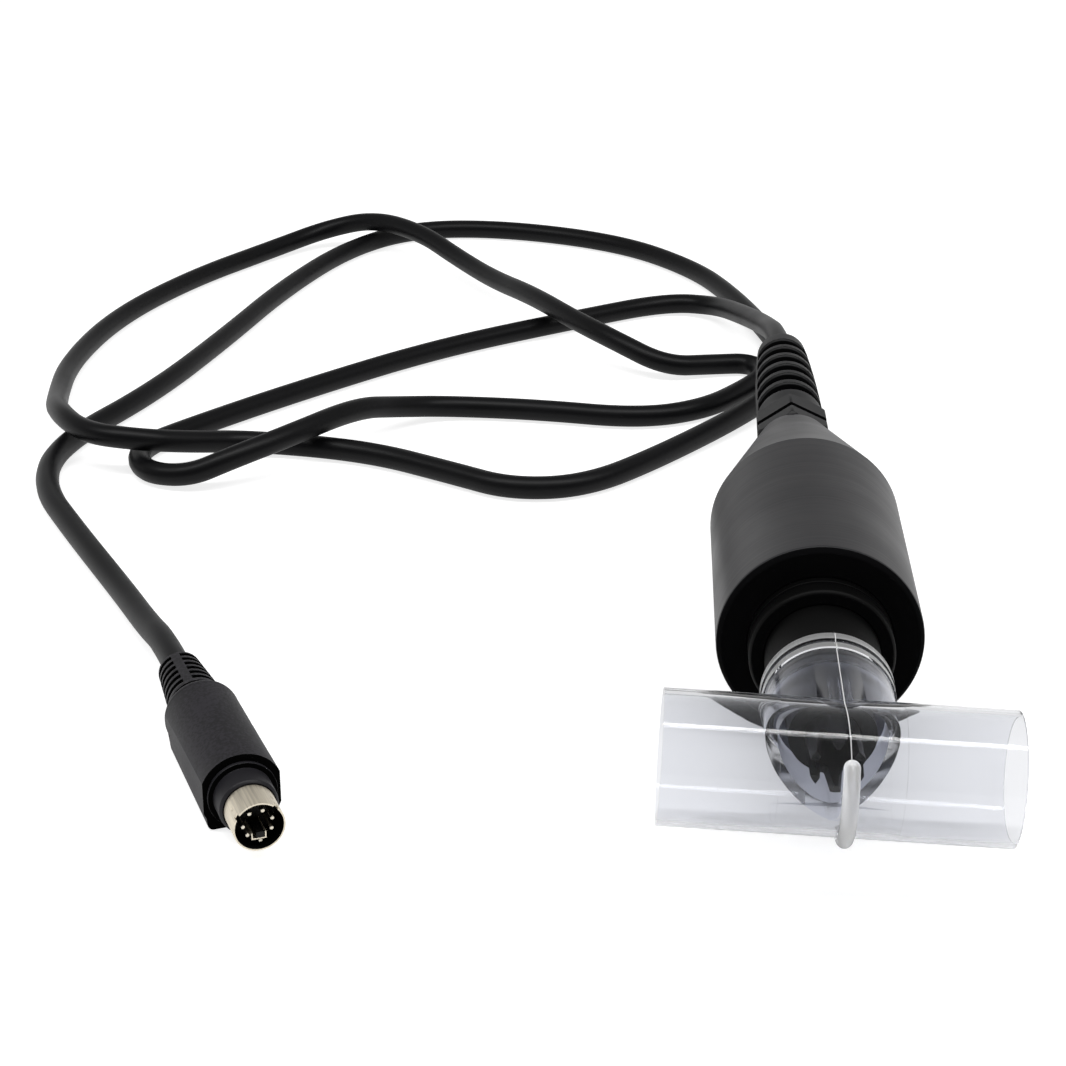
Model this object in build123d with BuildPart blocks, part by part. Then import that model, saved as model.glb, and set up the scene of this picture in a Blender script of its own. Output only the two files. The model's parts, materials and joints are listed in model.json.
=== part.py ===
from build123d import *
import math
import os

# Oxygen sensor with a clear tee, a strain-relieved cord and a round multi-pin plug, in millimetres.
# It lies on its round barrel. +Z is up, the sensing end points to -Y and the cord leaves at +Y.
# The origin is on the table under the middle of the sensor's length, tee included.

os.makedirs("parts", exist_ok=True)

# Barrel: a turned cylinder that runs into a long cone
barrel_r = 20.0
barrel_length = 56.5
cone_length = 44.0
cone_end_r = 8.5
rim_chamfer_r = 0.9
rim_chamfer_y = 1.2
cell_bore_r = 14.0
cell_bore_depth = 49.0
bore_thread_clearance = 0.05
cable_chamber_r = 9.0
cable_chamber_depth = 84.0

# Retaining ring, screwed into the barrel's mouth
ring_stand_out = 6.0
ring_depth = 6.0
ring_edge_chamfer = 0.5
ring_groove_y = 1.6
ring_groove_width = 0.5
ring_groove_depth = 0.5

# Nose sleeve: the turning male taper that the tee pushes onto
nose_r = 11.0
nose_stand_out = 28.0
nose_edge_chamfer = 0.8
nose_flange_r = 13.2
nose_flange_t = 2.0
nose_bore_r = 8.0
running_clearance = 0.05
seat_gap = 0.3

# Flow diverter, plugged into the sleeve
diverter_boss_front = 36.0
diverter_boss_back = 23.0
diverter_tube_r = 4.9
diverter_bore_r = 3.6
diverter_tip = 48.0
diverter_slots = 3
diverter_slot_depth = 5.6
diverter_slot_root = 1.7
diverter_slot_tip = 3.0

# Sealed sensor cell and what stands on its back
cell_r = 13.7
cell_length = 37.0
cell_edge = 1.0
cell_nose_tip = 20.0
cell_nose_gap = 0.25
seal_section_r = 0.9
cushion_bore_r = 10.2
board_r = 8.6
board_t = 1.6
resistor_size = (4.0, 1.4, 1.6)
resistor_x = 4.2
thermistor_r = 1.2
thermistor_length = 2.4
thermistor_x = -4.4
connector_size = (6.0, 3.4, 6.5)

# Cable gland: hexagon body, nut with a long slotted tail, rubber insert
gland_flats = 16.0
gland_flange_t = 3.6
gland_thread_r = 5.9
gland_nipple_length = 9.0
gland_spigot_r = 6.0
gland_spigot_length = 7.5
gland_bore_r = 3.4
gland_gap = 0.3
gland_corner = 0.7
gland_turn_deg = 4.5
nut_hex_length = 8.6
nut_length = 56.6
nut_thread_depth = 8.0
tail_root_r = 7.9
tail_middle_r = 7.35
tail_tip_r = 6.1
tail_tip_round = 1.0
tail_core_r = 4.3
tail_bore_r = 3.0
tail_slot_count = 6
tail_slot_first = 13.1
tail_slot_pitch = 6.8
tail_slot_width = 3.3
tail_web = 5.6
insert_r = 4.6
insert_length = 6.0
gland_ring_r = 6.8
gland_ring_section_r = 0.7

# Cord and conductors
cord_r = 2.8
cord_clearance = 0.05
conductor_r = 0.55
conductor_ring_r = 1.35
conductor_count = 4

# Tee: a clear run with a short branch that ends in a lipped socket
tee_run_r = 12.0
tee_bore_r = 11.0
tee_run_socket_depth = 20.0
tee_middle_bore_r = 10.8
tee_run_length = 61.5
tee_branch_r = 11.95
tee_branch_bore_r = 9.8
tee_mouth_y = 20.3
tee_branch_length = 27.7
tee_socket_depth = 9.0
tee_lip_r = 12.4
tee_lip_width = 2.2
tee_lip_groove = 1.3
tee_ring_r = 12.3
tee_ring_width = 1.8
tee_turn_deg = -2.7
bead_height = 1.8
bead_width = 2.9
bead_shift = 1.6
bead_start_deg = 38.0
bead_sweep_deg = 116.0

# Plug: moulded grip on a flat foot, collar, metal shell, insert, pins and the key's guard
plug_heading_deg = -66.85
plug_height = 6.6
plug_start = (-125.93, -41.25)
relief_length = 16.4
relief_tip_r = 4.3
relief_root_r = 5.7
relief_slot_count = 6
relief_slot_pitch = 2.42
relief_slot_width = 1.0
relief_slot_first = 1.0
relief_core_r = 3.5
relief_web = 1.8
relief_turn_deg = 13.0
neck_r = 5.2
neck_width = 0.5
grip_length = 34.7
grip_neck_r = 6.0
grip_back_r = 7.3
grip_front_r = 7.85
grip_side = 7.2
grip_shoulder = 3.3
grip_shoulder_bulge = 0.45
foot_side = 6.5
foot_corner = 1.2
slit_place = 23.5
slit_drop = 2.35
slit_length = 6.6
slit_width = 0.5
slit_depth = 0.5
collar_r = 5.5
collar_length = 5.9
collar_chamfer = 0.5
collar_step_r = 6.5
collar_step_length = 0.9
shell_r = 4.75
shell_wall = 0.3
shell_root_r = 4.3
shell_stand_out = 6.9
shell_root = 5.0
shell_notch_width = 1.0
shell_notch_length = 1.0
shell_notch_angles = (146.0, 47.0)
shell_dimple_r = 0.8
shell_dimple_depth = 0.18
shell_dimple_drop = 3.3
shell_seat_clearance = 0.05
insert_recess = 6.0
key_width = 1.4
key_height = 1.15
key_place = (0.25, -2.05)
key_recess = 0.8
guard_width = 2.8
guard_height = 1.45
guard_wall = 0.3
pin_r = 0.4
pin_recess = 1.0
pin_root = 2.0
pin_circle_r = 2.75
pin_angles = (122.0, 69.0, 16.0, -27.0, -137.0, -178.0)
low_pin = (0.3, -3.4)
pin_hole_clearance = 0.03

# Places along the sensor's axis
axis_z = barrel_r
front_reach = tee_mouth_y + tee_branch_length + tee_run_r + bead_height
back_reach = barrel_length + cone_length + gland_flange_t + gland_gap + nut_length
rim_y = (front_reach - back_reach) / 2
barrel_end_y = rim_y + barrel_length
cone_end_y = barrel_end_y + cone_length
bore_end_y = rim_y + cell_bore_depth
chamber_end_y = rim_y + cable_chamber_depth
ring_front_y = rim_y - ring_stand_out
ring_back_y = rim_y + ring_depth
nose_front_y = rim_y - nose_stand_out
nose_flange_y = ring_back_y + seat_gap
nose_back_y = nose_flange_y + nose_flange_t
cell_front_y = nose_back_y + seat_gap
cell_back_y = cell_front_y + cell_length
cell_tip_y = rim_y - cell_nose_tip
cell_nose_r = nose_bore_r - cell_nose_gap
boss_r = nose_bore_r - running_clearance
nut_y = cone_end_y + gland_flange_t + gland_gap
tail_end_y = nut_y + nut_length
nut_corner_r = gland_flats / math.sqrt(3)
tee_y = rim_y - tee_mouth_y - tee_branch_length
tee_mouth = rim_y - tee_mouth_y


def axial(angle):
    """Plane that holds the sensor's axis, turned about it by angle degrees, with its X along +Y."""
    tilt = math.radians(angle)
    return Plane(origin=(0, 0, axis_z), x_dir=(0, 1, 0), z_dir=(math.cos(tilt), 0, -math.sin(tilt)))


def across(y):
    """Plane square to the sensor's axis at y, facing the tee's end, with its own Y up."""
    return Plane(origin=(0, y, axis_z), x_dir=(1, 0, 0), z_dir=(0, -1, 0))


# The sensor's axis, with profiles drawn as (place along Y, radius)
sensor_plane = axial(0)
sensor_axis = Axis((0, 0, axis_z), (0, 1, 0))

# Housing
with BuildPart() as housing:
    with BuildSketch(sensor_plane):
        with BuildLine():
            Polyline(
                (rim_y, cell_bore_r),
                (rim_y, barrel_r - rim_chamfer_r),
                (rim_y + rim_chamfer_y, barrel_r),
                (barrel_end_y, barrel_r),
                (cone_end_y, cone_end_r),
                (cone_end_y, gland_thread_r),
                (chamber_end_y, gland_thread_r),
                (bore_end_y, cable_chamber_r),
                (bore_end_y, cell_bore_r),
                close=True,
            )
        make_face()
    revolve(axis=sensor_axis)
housing.part.label = "housing"

# Retaining ring
ring_r = cell_bore_r - bore_thread_clearance
ring_bore_r = nose_r + running_clearance
with BuildPart() as retaining_ring:
    with BuildSketch(sensor_plane):
        with BuildLine():
            Polyline(
                (ring_front_y, ring_bore_r),
                (ring_front_y, ring_r - ring_edge_chamfer),
                (ring_front_y + ring_edge_chamfer, ring_r),
                (rim_y - ring_groove_y - ring_groove_width, ring_r),
                (rim_y - ring_groove_y - ring_groove_width, ring_r - ring_groove_depth),
                (rim_y - ring_groove_y, ring_r - ring_groove_depth),
                (rim_y - ring_groove_y, ring_r),
                (ring_back_y, ring_r),
                (ring_back_y, ring_bore_r),
                close=True,
            )
        make_face()
    revolve(axis=sensor_axis)
retaining_ring.part.label = "retaining_ring"

# Nose sleeve, held behind the retaining ring by its flange, free to turn
with BuildPart() as nose_sleeve:
    with BuildSketch(sensor_plane):
        with BuildLine():
            Polyline(
                (nose_front_y, nose_bore_r),
                (nose_front_y, nose_r - nose_edge_chamfer),
                (nose_front_y + nose_edge_chamfer, nose_r),
                (nose_flange_y, nose_r),
                (nose_flange_y, nose_flange_r),
                (nose_back_y, nose_flange_r),
                (nose_back_y, nose_bore_r),
                close=True,
            )
        make_face()
    revolve(axis=sensor_axis)
nose_sleeve.part.label = "nose_sleeve"

# Flow diverter: boss in the sleeve, slotted tube that reaches into the tee's run
boss_front_y = rim_y - diverter_boss_front
boss_back_y = rim_y - diverter_boss_back
tip_y = rim_y - diverter_tip
slot_root_y = tip_y + diverter_slot_depth
tip_low = (tip_y, -diverter_slot_tip / 2)
tip_high = (tip_y, diverter_slot_tip / 2)
root_low = (slot_root_y, -diverter_slot_root / 2)
root_high = (slot_root_y, diverter_slot_root / 2)
root_apex = (slot_root_y + diverter_slot_root / 2, 0)
with BuildPart() as flow_diverter:
    with BuildSketch(sensor_plane):
        with BuildLine():
            Polyline(
                (tip_y, diverter_bore_r),
                (tip_y, diverter_tube_r),
                (boss_front_y, diverter_tube_r),
                (boss_front_y, boss_r),
                (boss_back_y, boss_r),
                (boss_back_y, diverter_bore_r),
                close=True,
            )
        make_face()
    revolve(axis=sensor_axis)
    # Each slot goes right across the tube, widens to the tip and has a round root
    for index in range(diverter_slots):
        with BuildSketch(axial(index * 180 / diverter_slots)):
            with BuildLine():
                Polyline(root_low, tip_low, tip_high, root_high)
                ThreePointArc(root_high, root_apex, root_low)
            make_face()
        extrude(amount=boss_r, both=True, mode=Mode.SUBTRACT)
flow_diverter.part.label = "flow_diverter"

# Sensor cell: a sealed can with a narrow gas nose inside the sleeve
with BuildPart() as sensor_cell:
    with BuildSketch(sensor_plane):
        with BuildLine():
            Polyline(
                (cell_tip_y, 0),
                (cell_tip_y, cell_nose_r),
                (cell_front_y, cell_nose_r),
                (cell_front_y, cell_r - cell_edge),
                (cell_front_y + cell_edge, cell_r),
                (cell_back_y - cell_edge, cell_r),
                (cell_back_y, cell_r - cell_edge),
                (cell_back_y, 0),
                close=True,
            )
        make_face()
    revolve(axis=sensor_axis)
    # Groove for the nose seal
    with BuildSketch(sensor_plane):
        with Locations((cell_tip_y + 3 * seal_section_r, nose_bore_r - running_clearance - seal_section_r)):
            Circle(seal_section_r)
    revolve(axis=sensor_axis, mode=Mode.SUBTRACT)
sensor_cell.part.label = "sensor_cell"

with BuildPart() as nose_seal:
    with BuildSketch(sensor_plane):
        with Locations((cell_tip_y + 3 * seal_section_r, nose_bore_r - running_clearance - seal_section_r)):
            Circle(seal_section_r)
    revolve(axis=sensor_axis)
nose_seal.part.label = "nose_seal"

# Rubber cushion ring between the cell and the end of the bore
with BuildPart() as cell_cushion:
    with BuildSketch(across(bore_end_y)):
        Circle(cell_r)
        Circle(cushion_bore_r, mode=Mode.SUBTRACT)
    extrude(amount=bore_end_y - cell_back_y)
cell_cushion.part.label = "cell_cushion"

# Round contact board on the cell's back, with its parts
board_back_y = cell_back_y + board_t
with BuildPart() as contact_board:
    with BuildSketch(across(board_back_y)):
        Circle(board_r)
    extrude(amount=board_t)
contact_board.part.label = "contact_board"

with BuildPart() as load_resistor:
    with BuildSketch(across(board_back_y)):
        with Locations((0, resistor_x)):
            Rectangle(resistor_size[0], resistor_size[2])
    extrude(amount=-resistor_size[1])
load_resistor.part.label = "load_resistor"

with BuildPart() as thermistor:
    with BuildSketch(across(board_back_y)):
        with Locations((0, thermistor_x)):
            Circle(thermistor_r)
    extrude(amount=-thermistor_length)
    fillet(thermistor.faces().sort_by(Axis.Y)[-1].edges(), radius=thermistor_r / 2)
thermistor.part.label = "thermistor"

connector_back_y = board_back_y + connector_size[2]
with BuildPart() as lead_connector:
    with BuildSketch(across(board_back_y)):
        Rectangle(connector_size[0], connector_size[1])
    extrude(amount=-connector_size[2])
    fillet(lead_connector.edges().filter_by(Axis.Y), radius=connector_size[1] / 8)
lead_connector.part.label = "lead_connector"

# Conductors from the connector to the cable's end
cable_end_y = cone_end_y - gland_nipple_length - insert_length
with BuildPart() as lead_wires:
    with BuildSketch(across(cable_end_y)):
        with PolarLocations(conductor_ring_r, conductor_count):
            Circle(conductor_r)
    extrude(amount=cable_end_y - connector_back_y)
lead_wires.part.label = "lead_wires"

# The cable's end inside the gland and the nut's tail
with BuildPart() as inner_cable:
    with BuildSketch(across(tail_end_y)):
        Circle(cord_r)
    extrude(amount=tail_end_y - cable_end_y)
inner_cable.part.label = "inner_cable"

# Gland body: hexagon flange, threaded nipple into the cone and spigot for the nut
flange_end_y = cone_end_y + gland_flange_t
hexagon_turn = 30 + gland_turn_deg
spigot_end_y = flange_end_y + gland_spigot_length
with BuildPart() as gland_body:
    with BuildSketch(across(flange_end_y)):
        RegularPolygon(radius=gland_flats / 2, side_count=6, major_radius=False, rotation=hexagon_turn)
    extrude(amount=gland_flange_t)
    fillet(gland_body.edges().filter_by(Axis.Y), radius=gland_corner)
    # The hexagon's front corners are turned down to the cone's end
    with BuildSketch(sensor_plane):
        with BuildLine():
            Polyline(
                (cone_end_y, cone_end_r),
                (cone_end_y + nut_corner_r - cone_end_r, nut_corner_r),
                (cone_end_y, nut_corner_r),
                close=True,
            )
        make_face()
    revolve(axis=sensor_axis, mode=Mode.SUBTRACT)
    with BuildSketch(across(cone_end_y)):
        Circle(gland_thread_r - bore_thread_clearance)
    extrude(amount=gland_nipple_length)
    with BuildSketch(across(spigot_end_y)):
        Circle(gland_spigot_r)
    extrude(amount=gland_spigot_length)
    with BuildSketch(across(spigot_end_y)):
        Circle(gland_bore_r)
    extrude(amount=gland_spigot_length + gland_flange_t + gland_nipple_length, mode=Mode.SUBTRACT)
    with BuildSketch(across(spigot_end_y)):
        Circle(insert_r + cord_clearance)
    extrude(amount=insert_length, mode=Mode.SUBTRACT)
    # Groove for the seal ring, in the flange's back face
    with BuildSketch(across(cone_end_y)):
        Circle(gland_ring_r + gland_ring_section_r)
        Circle(gland_ring_r - gland_ring_section_r, mode=Mode.SUBTRACT)
    extrude(amount=-2 * gland_ring_section_r, mode=Mode.SUBTRACT)
gland_body.part.label = "gland_body"

with BuildPart() as gland_o_ring:
    with BuildSketch(sensor_plane):
        with Locations((cone_end_y + gland_ring_section_r, gland_ring_r)):
            Circle(gland_ring_section_r)
    revolve(axis=sensor_axis)
gland_o_ring.part.label = "gland_o_ring"

# Rubber insert that grips the cable
with BuildPart() as gland_insert:
    with BuildSketch(across(spigot_end_y)):
        Circle(insert_r)
        Circle(cord_r + cord_clearance, mode=Mode.SUBTRACT)
    extrude(amount=insert_length)
gland_insert.part.label = "gland_insert"

# Gland nut: hexagon, round shoulder and a tapered tail, slotted above and below so that it bends
hex_end_y = nut_y + nut_hex_length
thread_end_y = nut_y + nut_thread_depth
with BuildPart() as gland_nut:
    with BuildSketch(across(hex_end_y)):
        RegularPolygon(radius=gland_flats / 2, side_count=6, major_radius=False, rotation=hexagon_turn)
    extrude(amount=nut_hex_length)
    fillet(gland_nut.edges().filter_by(Axis.Y), radius=gland_corner)
    # The hexagon's back corners are turned down to the tail's root
    with BuildSketch(sensor_plane):
        with BuildLine():
            Polyline(
                (hex_end_y - (nut_corner_r - tail_root_r), nut_corner_r),
                (hex_end_y, tail_root_r),
                (hex_end_y, nut_corner_r),
                close=True,
            )
        make_face()
    revolve(axis=sensor_axis, mode=Mode.SUBTRACT)
    with BuildSketch(sensor_plane):
        with BuildLine():
            shoulder = (hex_end_y, tail_root_r)
            tip_edge = (tail_end_y - tail_tip_round, tail_tip_r)
            tip_round = (tail_end_y, tail_tip_r - tail_tip_round)
            middle = ((hex_end_y + tail_end_y) / 2, tail_middle_r)
            Polyline(tip_round, (tail_end_y, 0), (thread_end_y, 0), (thread_end_y, tail_root_r), shoulder)
            ThreePointArc(shoulder, middle, tip_edge)
            RadiusArc(tip_edge, tip_round, tail_tip_round)
        make_face()
    revolve(axis=sensor_axis)
    # Slots
    for index in range(tail_slot_count):
        slot_y = nut_y + tail_slot_first + index * tail_slot_pitch
        with BuildSketch(across(slot_y + tail_slot_width / 2)):
            Circle(nut_corner_r)
            Circle(tail_core_r, mode=Mode.SUBTRACT)
            Rectangle(3 * nut_corner_r, tail_web, mode=Mode.SUBTRACT)
        extrude(amount=tail_slot_width, mode=Mode.SUBTRACT)
    # Thread, then the cable's bore
    with BuildSketch(across(thread_end_y)):
        Circle(gland_spigot_r + bore_thread_clearance)
    extrude(amount=nut_thread_depth, mode=Mode.SUBTRACT)
    with BuildSketch(across(tail_end_y)):
        Circle(tail_bore_r)
    extrude(amount=nut_length, mode=Mode.SUBTRACT)
gland_nut.part.label = "gland_nut"

# Tee
turn = math.radians(tee_turn_deg)
run_dir = Vector(math.cos(turn), 0, math.sin(turn))
tee_up = Vector(-math.sin(turn), 0, math.cos(turn))
tee_centre = Vector(0, tee_y, axis_z)
run_plane = Plane(origin=tee_centre, x_dir=(0, 1, 0), z_dir=run_dir)
branch_plane = Plane(origin=tee_centre, x_dir=(0, 1, 0), z_dir=run_dir.cross(Vector(0, 1, 0)) * -1)
bead_axis = Axis(tee_centre, run_dir)
bead_start = Vector(0, -1, 0).rotate(Axis((0, 0, 0), run_dir), -bead_start_deg)
bead_end = bead_start.rotate(Axis((0, 0, 0), run_dir), bead_sweep_deg)
bead_crest = tee_run_r + bead_height - bead_width / 2
wall_overlap = (tee_run_r - tee_bore_r) / 4
bead_centre = tee_centre + run_dir * bead_shift
bead_plane = Plane(origin=bead_centre, x_dir=run_dir, z_dir=run_dir.cross(bead_start))
with BuildPart() as tee:
    with BuildSketch(run_plane):
        Circle(tee_run_r)
    extrude(amount=tee_run_length / 2, both=True)
    # Branch with a lip and a ring round the socket's mouth
    lip_end = tee_branch_length - tee_lip_width
    ring_start = lip_end - tee_lip_groove
    ring_end = ring_start - tee_ring_width
    with BuildSketch(sensor_plane):
        with BuildLine():
            Polyline(
                (tee_y, 0),
                (tee_y, tee_branch_r),
                (tee_y + ring_end, tee_branch_r),
                (tee_y + ring_end, tee_ring_r),
                (tee_y + ring_start, tee_ring_r),
                (tee_y + ring_start, tee_branch_r),
                (tee_y + lip_end, tee_branch_r),
                (tee_y + lip_end, tee_lip_r),
                (tee_mouth, tee_lip_r),
                (tee_mouth, 0),
                close=True,
            )
        make_face()
    revolve(axis=sensor_axis)
    # Half-round bead round the front of the run, with round ends
    with BuildSketch(bead_plane):
        with Locations((0, bead_crest)):
            Circle(bead_width / 2)
        with Locations((0, (bead_crest + tee_run_r) / 2 - wall_overlap)):
            Rectangle(bead_width, bead_crest - tee_run_r + 2 * wall_overlap)
    revolve(axis=bead_axis, revolution_arc=bead_sweep_deg)
    for outward in (bead_start, bead_end):
        with Locations(Plane(origin=bead_centre + outward * bead_crest, z_dir=outward)):
            Sphere(bead_width / 2)
    # Bores: a socket in each end of the run, the run's middle, the branch and its socket
    with BuildSketch(run_plane):
        Circle(tee_middle_bore_r)
    extrude(amount=tee_run_length, both=True, mode=Mode.SUBTRACT)
    for end in (-1, 1):
        with BuildSketch(run_plane.offset(end * tee_run_length / 2)):
            Circle(tee_bore_r)
        extrude(amount=-end * tee_run_socket_depth, mode=Mode.SUBTRACT)
    with BuildSketch(across(tee_mouth)):
        Circle(tee_branch_bore_r)
    extrude(amount=tee_branch_length, mode=Mode.SUBTRACT)
    with BuildSketch(across(tee_mouth)):
        Circle(nose_r + running_clearance)
    extrude(amount=tee_socket_depth, mode=Mode.SUBTRACT)
tee.part.label = "tee"

# Plug, along its own axis
heading = math.radians(plug_heading_deg)
plug_dir = Vector(math.cos(heading), math.sin(heading), 0)
plug_side = Vector(math.sin(heading), -math.cos(heading), 0)
plug_origin = Vector(plug_start[0], plug_start[1], plug_height)
plug_plane = Plane(origin=plug_origin, x_dir=plug_dir, z_dir=plug_side)
plug_axis = Axis(plug_origin, plug_dir)
grip_start = relief_length
grip_end = grip_start + grip_length
collar_end = grip_end + collar_length
shell_start = grip_end - shell_root
shell_end = collar_end + shell_stand_out


def plug_across(distance):
    """Plane square to the plug's axis, facing the way the plug points, with its own Y up."""
    return Plane(origin=plug_origin + plug_dir * distance, x_dir=plug_side * -1, z_dir=plug_dir)


shoulder_start = grip_start + neck_width
shoulder_end = shoulder_start + grip_shoulder
with BuildPart() as plug_grip:
    # Tapered relief, a thin neck, a round shoulder and the body, all turned about the plug's axis
    with BuildSketch(plug_plane):
        with BuildLine():
            neck_corner = (shoulder_start, grip_neck_r)
            body_corner = (shoulder_end, grip_back_r)
            Polyline(
                (grip_end, grip_front_r),
                (grip_end, 0),
                (0, 0),
                (0, relief_tip_r),
                (grip_start, relief_root_r),
                (grip_start, neck_r),
                (shoulder_start, neck_r),
                neck_corner,
            )
            SagittaArc(neck_corner, body_corner, grip_shoulder_bulge)
            Line(body_corner, (grip_end, grip_front_r))
        make_face()
    revolve(axis=plug_axis)
    for index in range(relief_slot_count):
        with BuildSketch(plug_across(relief_slot_first + index * relief_slot_pitch)):
            Circle(grip_back_r)
            Circle(relief_core_r, mode=Mode.SUBTRACT)
            Rectangle(relief_web, 3 * grip_back_r, rotation=relief_turn_deg, mode=Mode.SUBTRACT)
        extrude(amount=relief_slot_width, mode=Mode.SUBTRACT)
    # The body's sides and its underside are flat
    with BuildSketch(plug_across(shoulder_start)):
        for side in (-1, 1):
            with Locations((side * 2 * grip_side, 0)):
                Rectangle(2 * grip_side, 4 * grip_side)
        with Locations((0, -2 * plug_height)):
            Rectangle(4 * grip_side, 2 * plug_height)
    extrude(amount=grip_length, mode=Mode.SUBTRACT)
    # Foot
    with BuildSketch(plug_across(shoulder_end)):
        with BuildLine():
            Polyline(
                (-grip_side, 0),
                (-foot_side, -plug_height),
                (foot_side, -plug_height),
                (grip_side, 0),
                close=True,
            )
        make_face()
        fillet(vertices().group_by(Axis.Y)[0], radius=foot_corner)
    extrude(amount=grip_end - shoulder_end)
    # A slit in each flank
    for side in (-1, 1):
        flank = plug_origin + plug_dir * slit_place - plug_side * side * grip_side
        with BuildSketch(Plane(origin=flank, x_dir=plug_dir, z_dir=plug_side * -side)):
            with Locations((0, side * slit_drop)):
                SlotOverall(slit_length, slit_width)
        extrude(amount=-slit_depth, mode=Mode.SUBTRACT)
    # Room for the shell's root and the collar's spigot
    with BuildSketch(plug_across(grip_end)):
        Circle(shell_root_r + shell_seat_clearance)
    extrude(amount=-shell_root, mode=Mode.SUBTRACT)
plug_grip.part.label = "plug_grip"

with BuildPart() as plug_collar:
    with BuildSketch(plug_across(grip_end)):
        Circle(collar_r)
    extrude(amount=collar_length)
    chamfer(plug_collar.faces().sort_by(plug_axis)[-1].edges(), length=collar_chamfer)
    with BuildSketch(plug_across(grip_end)):
        Circle(collar_step_r)
    extrude(amount=collar_step_length)
    with BuildSketch(plug_across(grip_end)):
        Circle(shell_root_r + shell_seat_clearance)
    extrude(amount=collar_length, mode=Mode.SUBTRACT)
plug_collar.part.label = "plug_collar"

shell_bore_r = shell_r - shell_wall
shell_root_bore_r = shell_root_r - shell_wall
with BuildPart() as plug_shell:
    with BuildSketch(plug_plane):
        with BuildLine():
            Polyline(
                (shell_start, shell_root_bore_r),
                (shell_start, shell_root_r),
                (collar_end, shell_root_r),
                (collar_end, shell_r),
                (shell_end, shell_r),
                (shell_end, shell_bore_r),
                (collar_end + shell_wall, shell_bore_r),
                (collar_end + shell_wall, shell_root_bore_r),
                close=True,
            )
        make_face()
    revolve(axis=plug_axis)
    # Notches in the shell's mouth
    for angle in shell_notch_angles:
        with BuildSketch(plug_across(shell_end)):
            with PolarLocations(shell_r, 1, start_angle=angle):
                Rectangle(4 * shell_wall, shell_notch_width)
        extrude(amount=-shell_notch_length, mode=Mode.SUBTRACT)
    # A pressed dimple behind each notch
    for angle in shell_notch_angles:
        outward = plug_side * -math.cos(math.radians(angle)) + Vector(0, 0, math.sin(math.radians(angle)))
        dimple = plug_origin + plug_dir * (shell_end - shell_dimple_drop)
        dimple += outward * (shell_r + shell_dimple_r - shell_dimple_depth)
        with Locations(Location(dimple)):
            Sphere(shell_dimple_r, mode=Mode.SUBTRACT)
plug_shell.part.label = "plug_shell"

plug_insert_root_r = shell_root_bore_r - shell_seat_clearance
plug_insert_r = shell_bore_r - shell_seat_clearance
plug_insert_step = collar_end + shell_wall + shell_seat_clearance
insert_end = shell_end - insert_recess
with BuildPart() as plug_insert:
    with BuildSketch(plug_plane):
        with BuildLine():
            Polyline(
                (shell_start, 0),
                (shell_start, plug_insert_root_r),
                (plug_insert_step, plug_insert_root_r),
                (plug_insert_step, plug_insert_r),
                (insert_end, plug_insert_r),
                (insert_end, 0),
                close=True,
            )
        make_face()
    revolve(axis=plug_axis)
    with BuildSketch(plug_across(insert_end)):
        with Locations(key_place):
            Rectangle(key_width, key_height)
    extrude(amount=insert_recess - key_recess)
    with BuildSketch(plug_across(insert_end)):
        for angle in pin_angles:
            with PolarLocations(pin_circle_r, 1, start_angle=angle):
                Circle(pin_r + pin_hole_clearance)
        with Locations(low_pin):
            Circle(pin_r + pin_hole_clearance)
    extrude(amount=-pin_root, mode=Mode.SUBTRACT)
plug_insert.part.label = "plug_insert"

with BuildPart() as plug_pins:
    with BuildSketch(plug_across(insert_end - pin_root)):
        for angle in pin_angles:
            with PolarLocations(pin_circle_r, 1, start_angle=angle):
                Circle(pin_r)
        with Locations(low_pin):
            Circle(pin_r)
    extrude(amount=pin_root + insert_recess - pin_recess)
plug_pins.part.label = "plug_pins"

# Metal guard that stands round the key's underside
key_base = key_place[1] - key_height / 2
guard_middle = key_base - guard_wall + guard_height / 2
with BuildPart() as key_guard:
    with BuildSketch(plug_across(insert_end)):
        with Locations((0, guard_middle)):
            Rectangle(guard_width, guard_height)
        with Locations((0, guard_middle + guard_wall)):
            Rectangle(guard_width - 2 * guard_wall, guard_height, mode=Mode.SUBTRACT)
    extrude(amount=insert_recess - key_recess)
key_guard.part.label = "key_guard"

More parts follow.
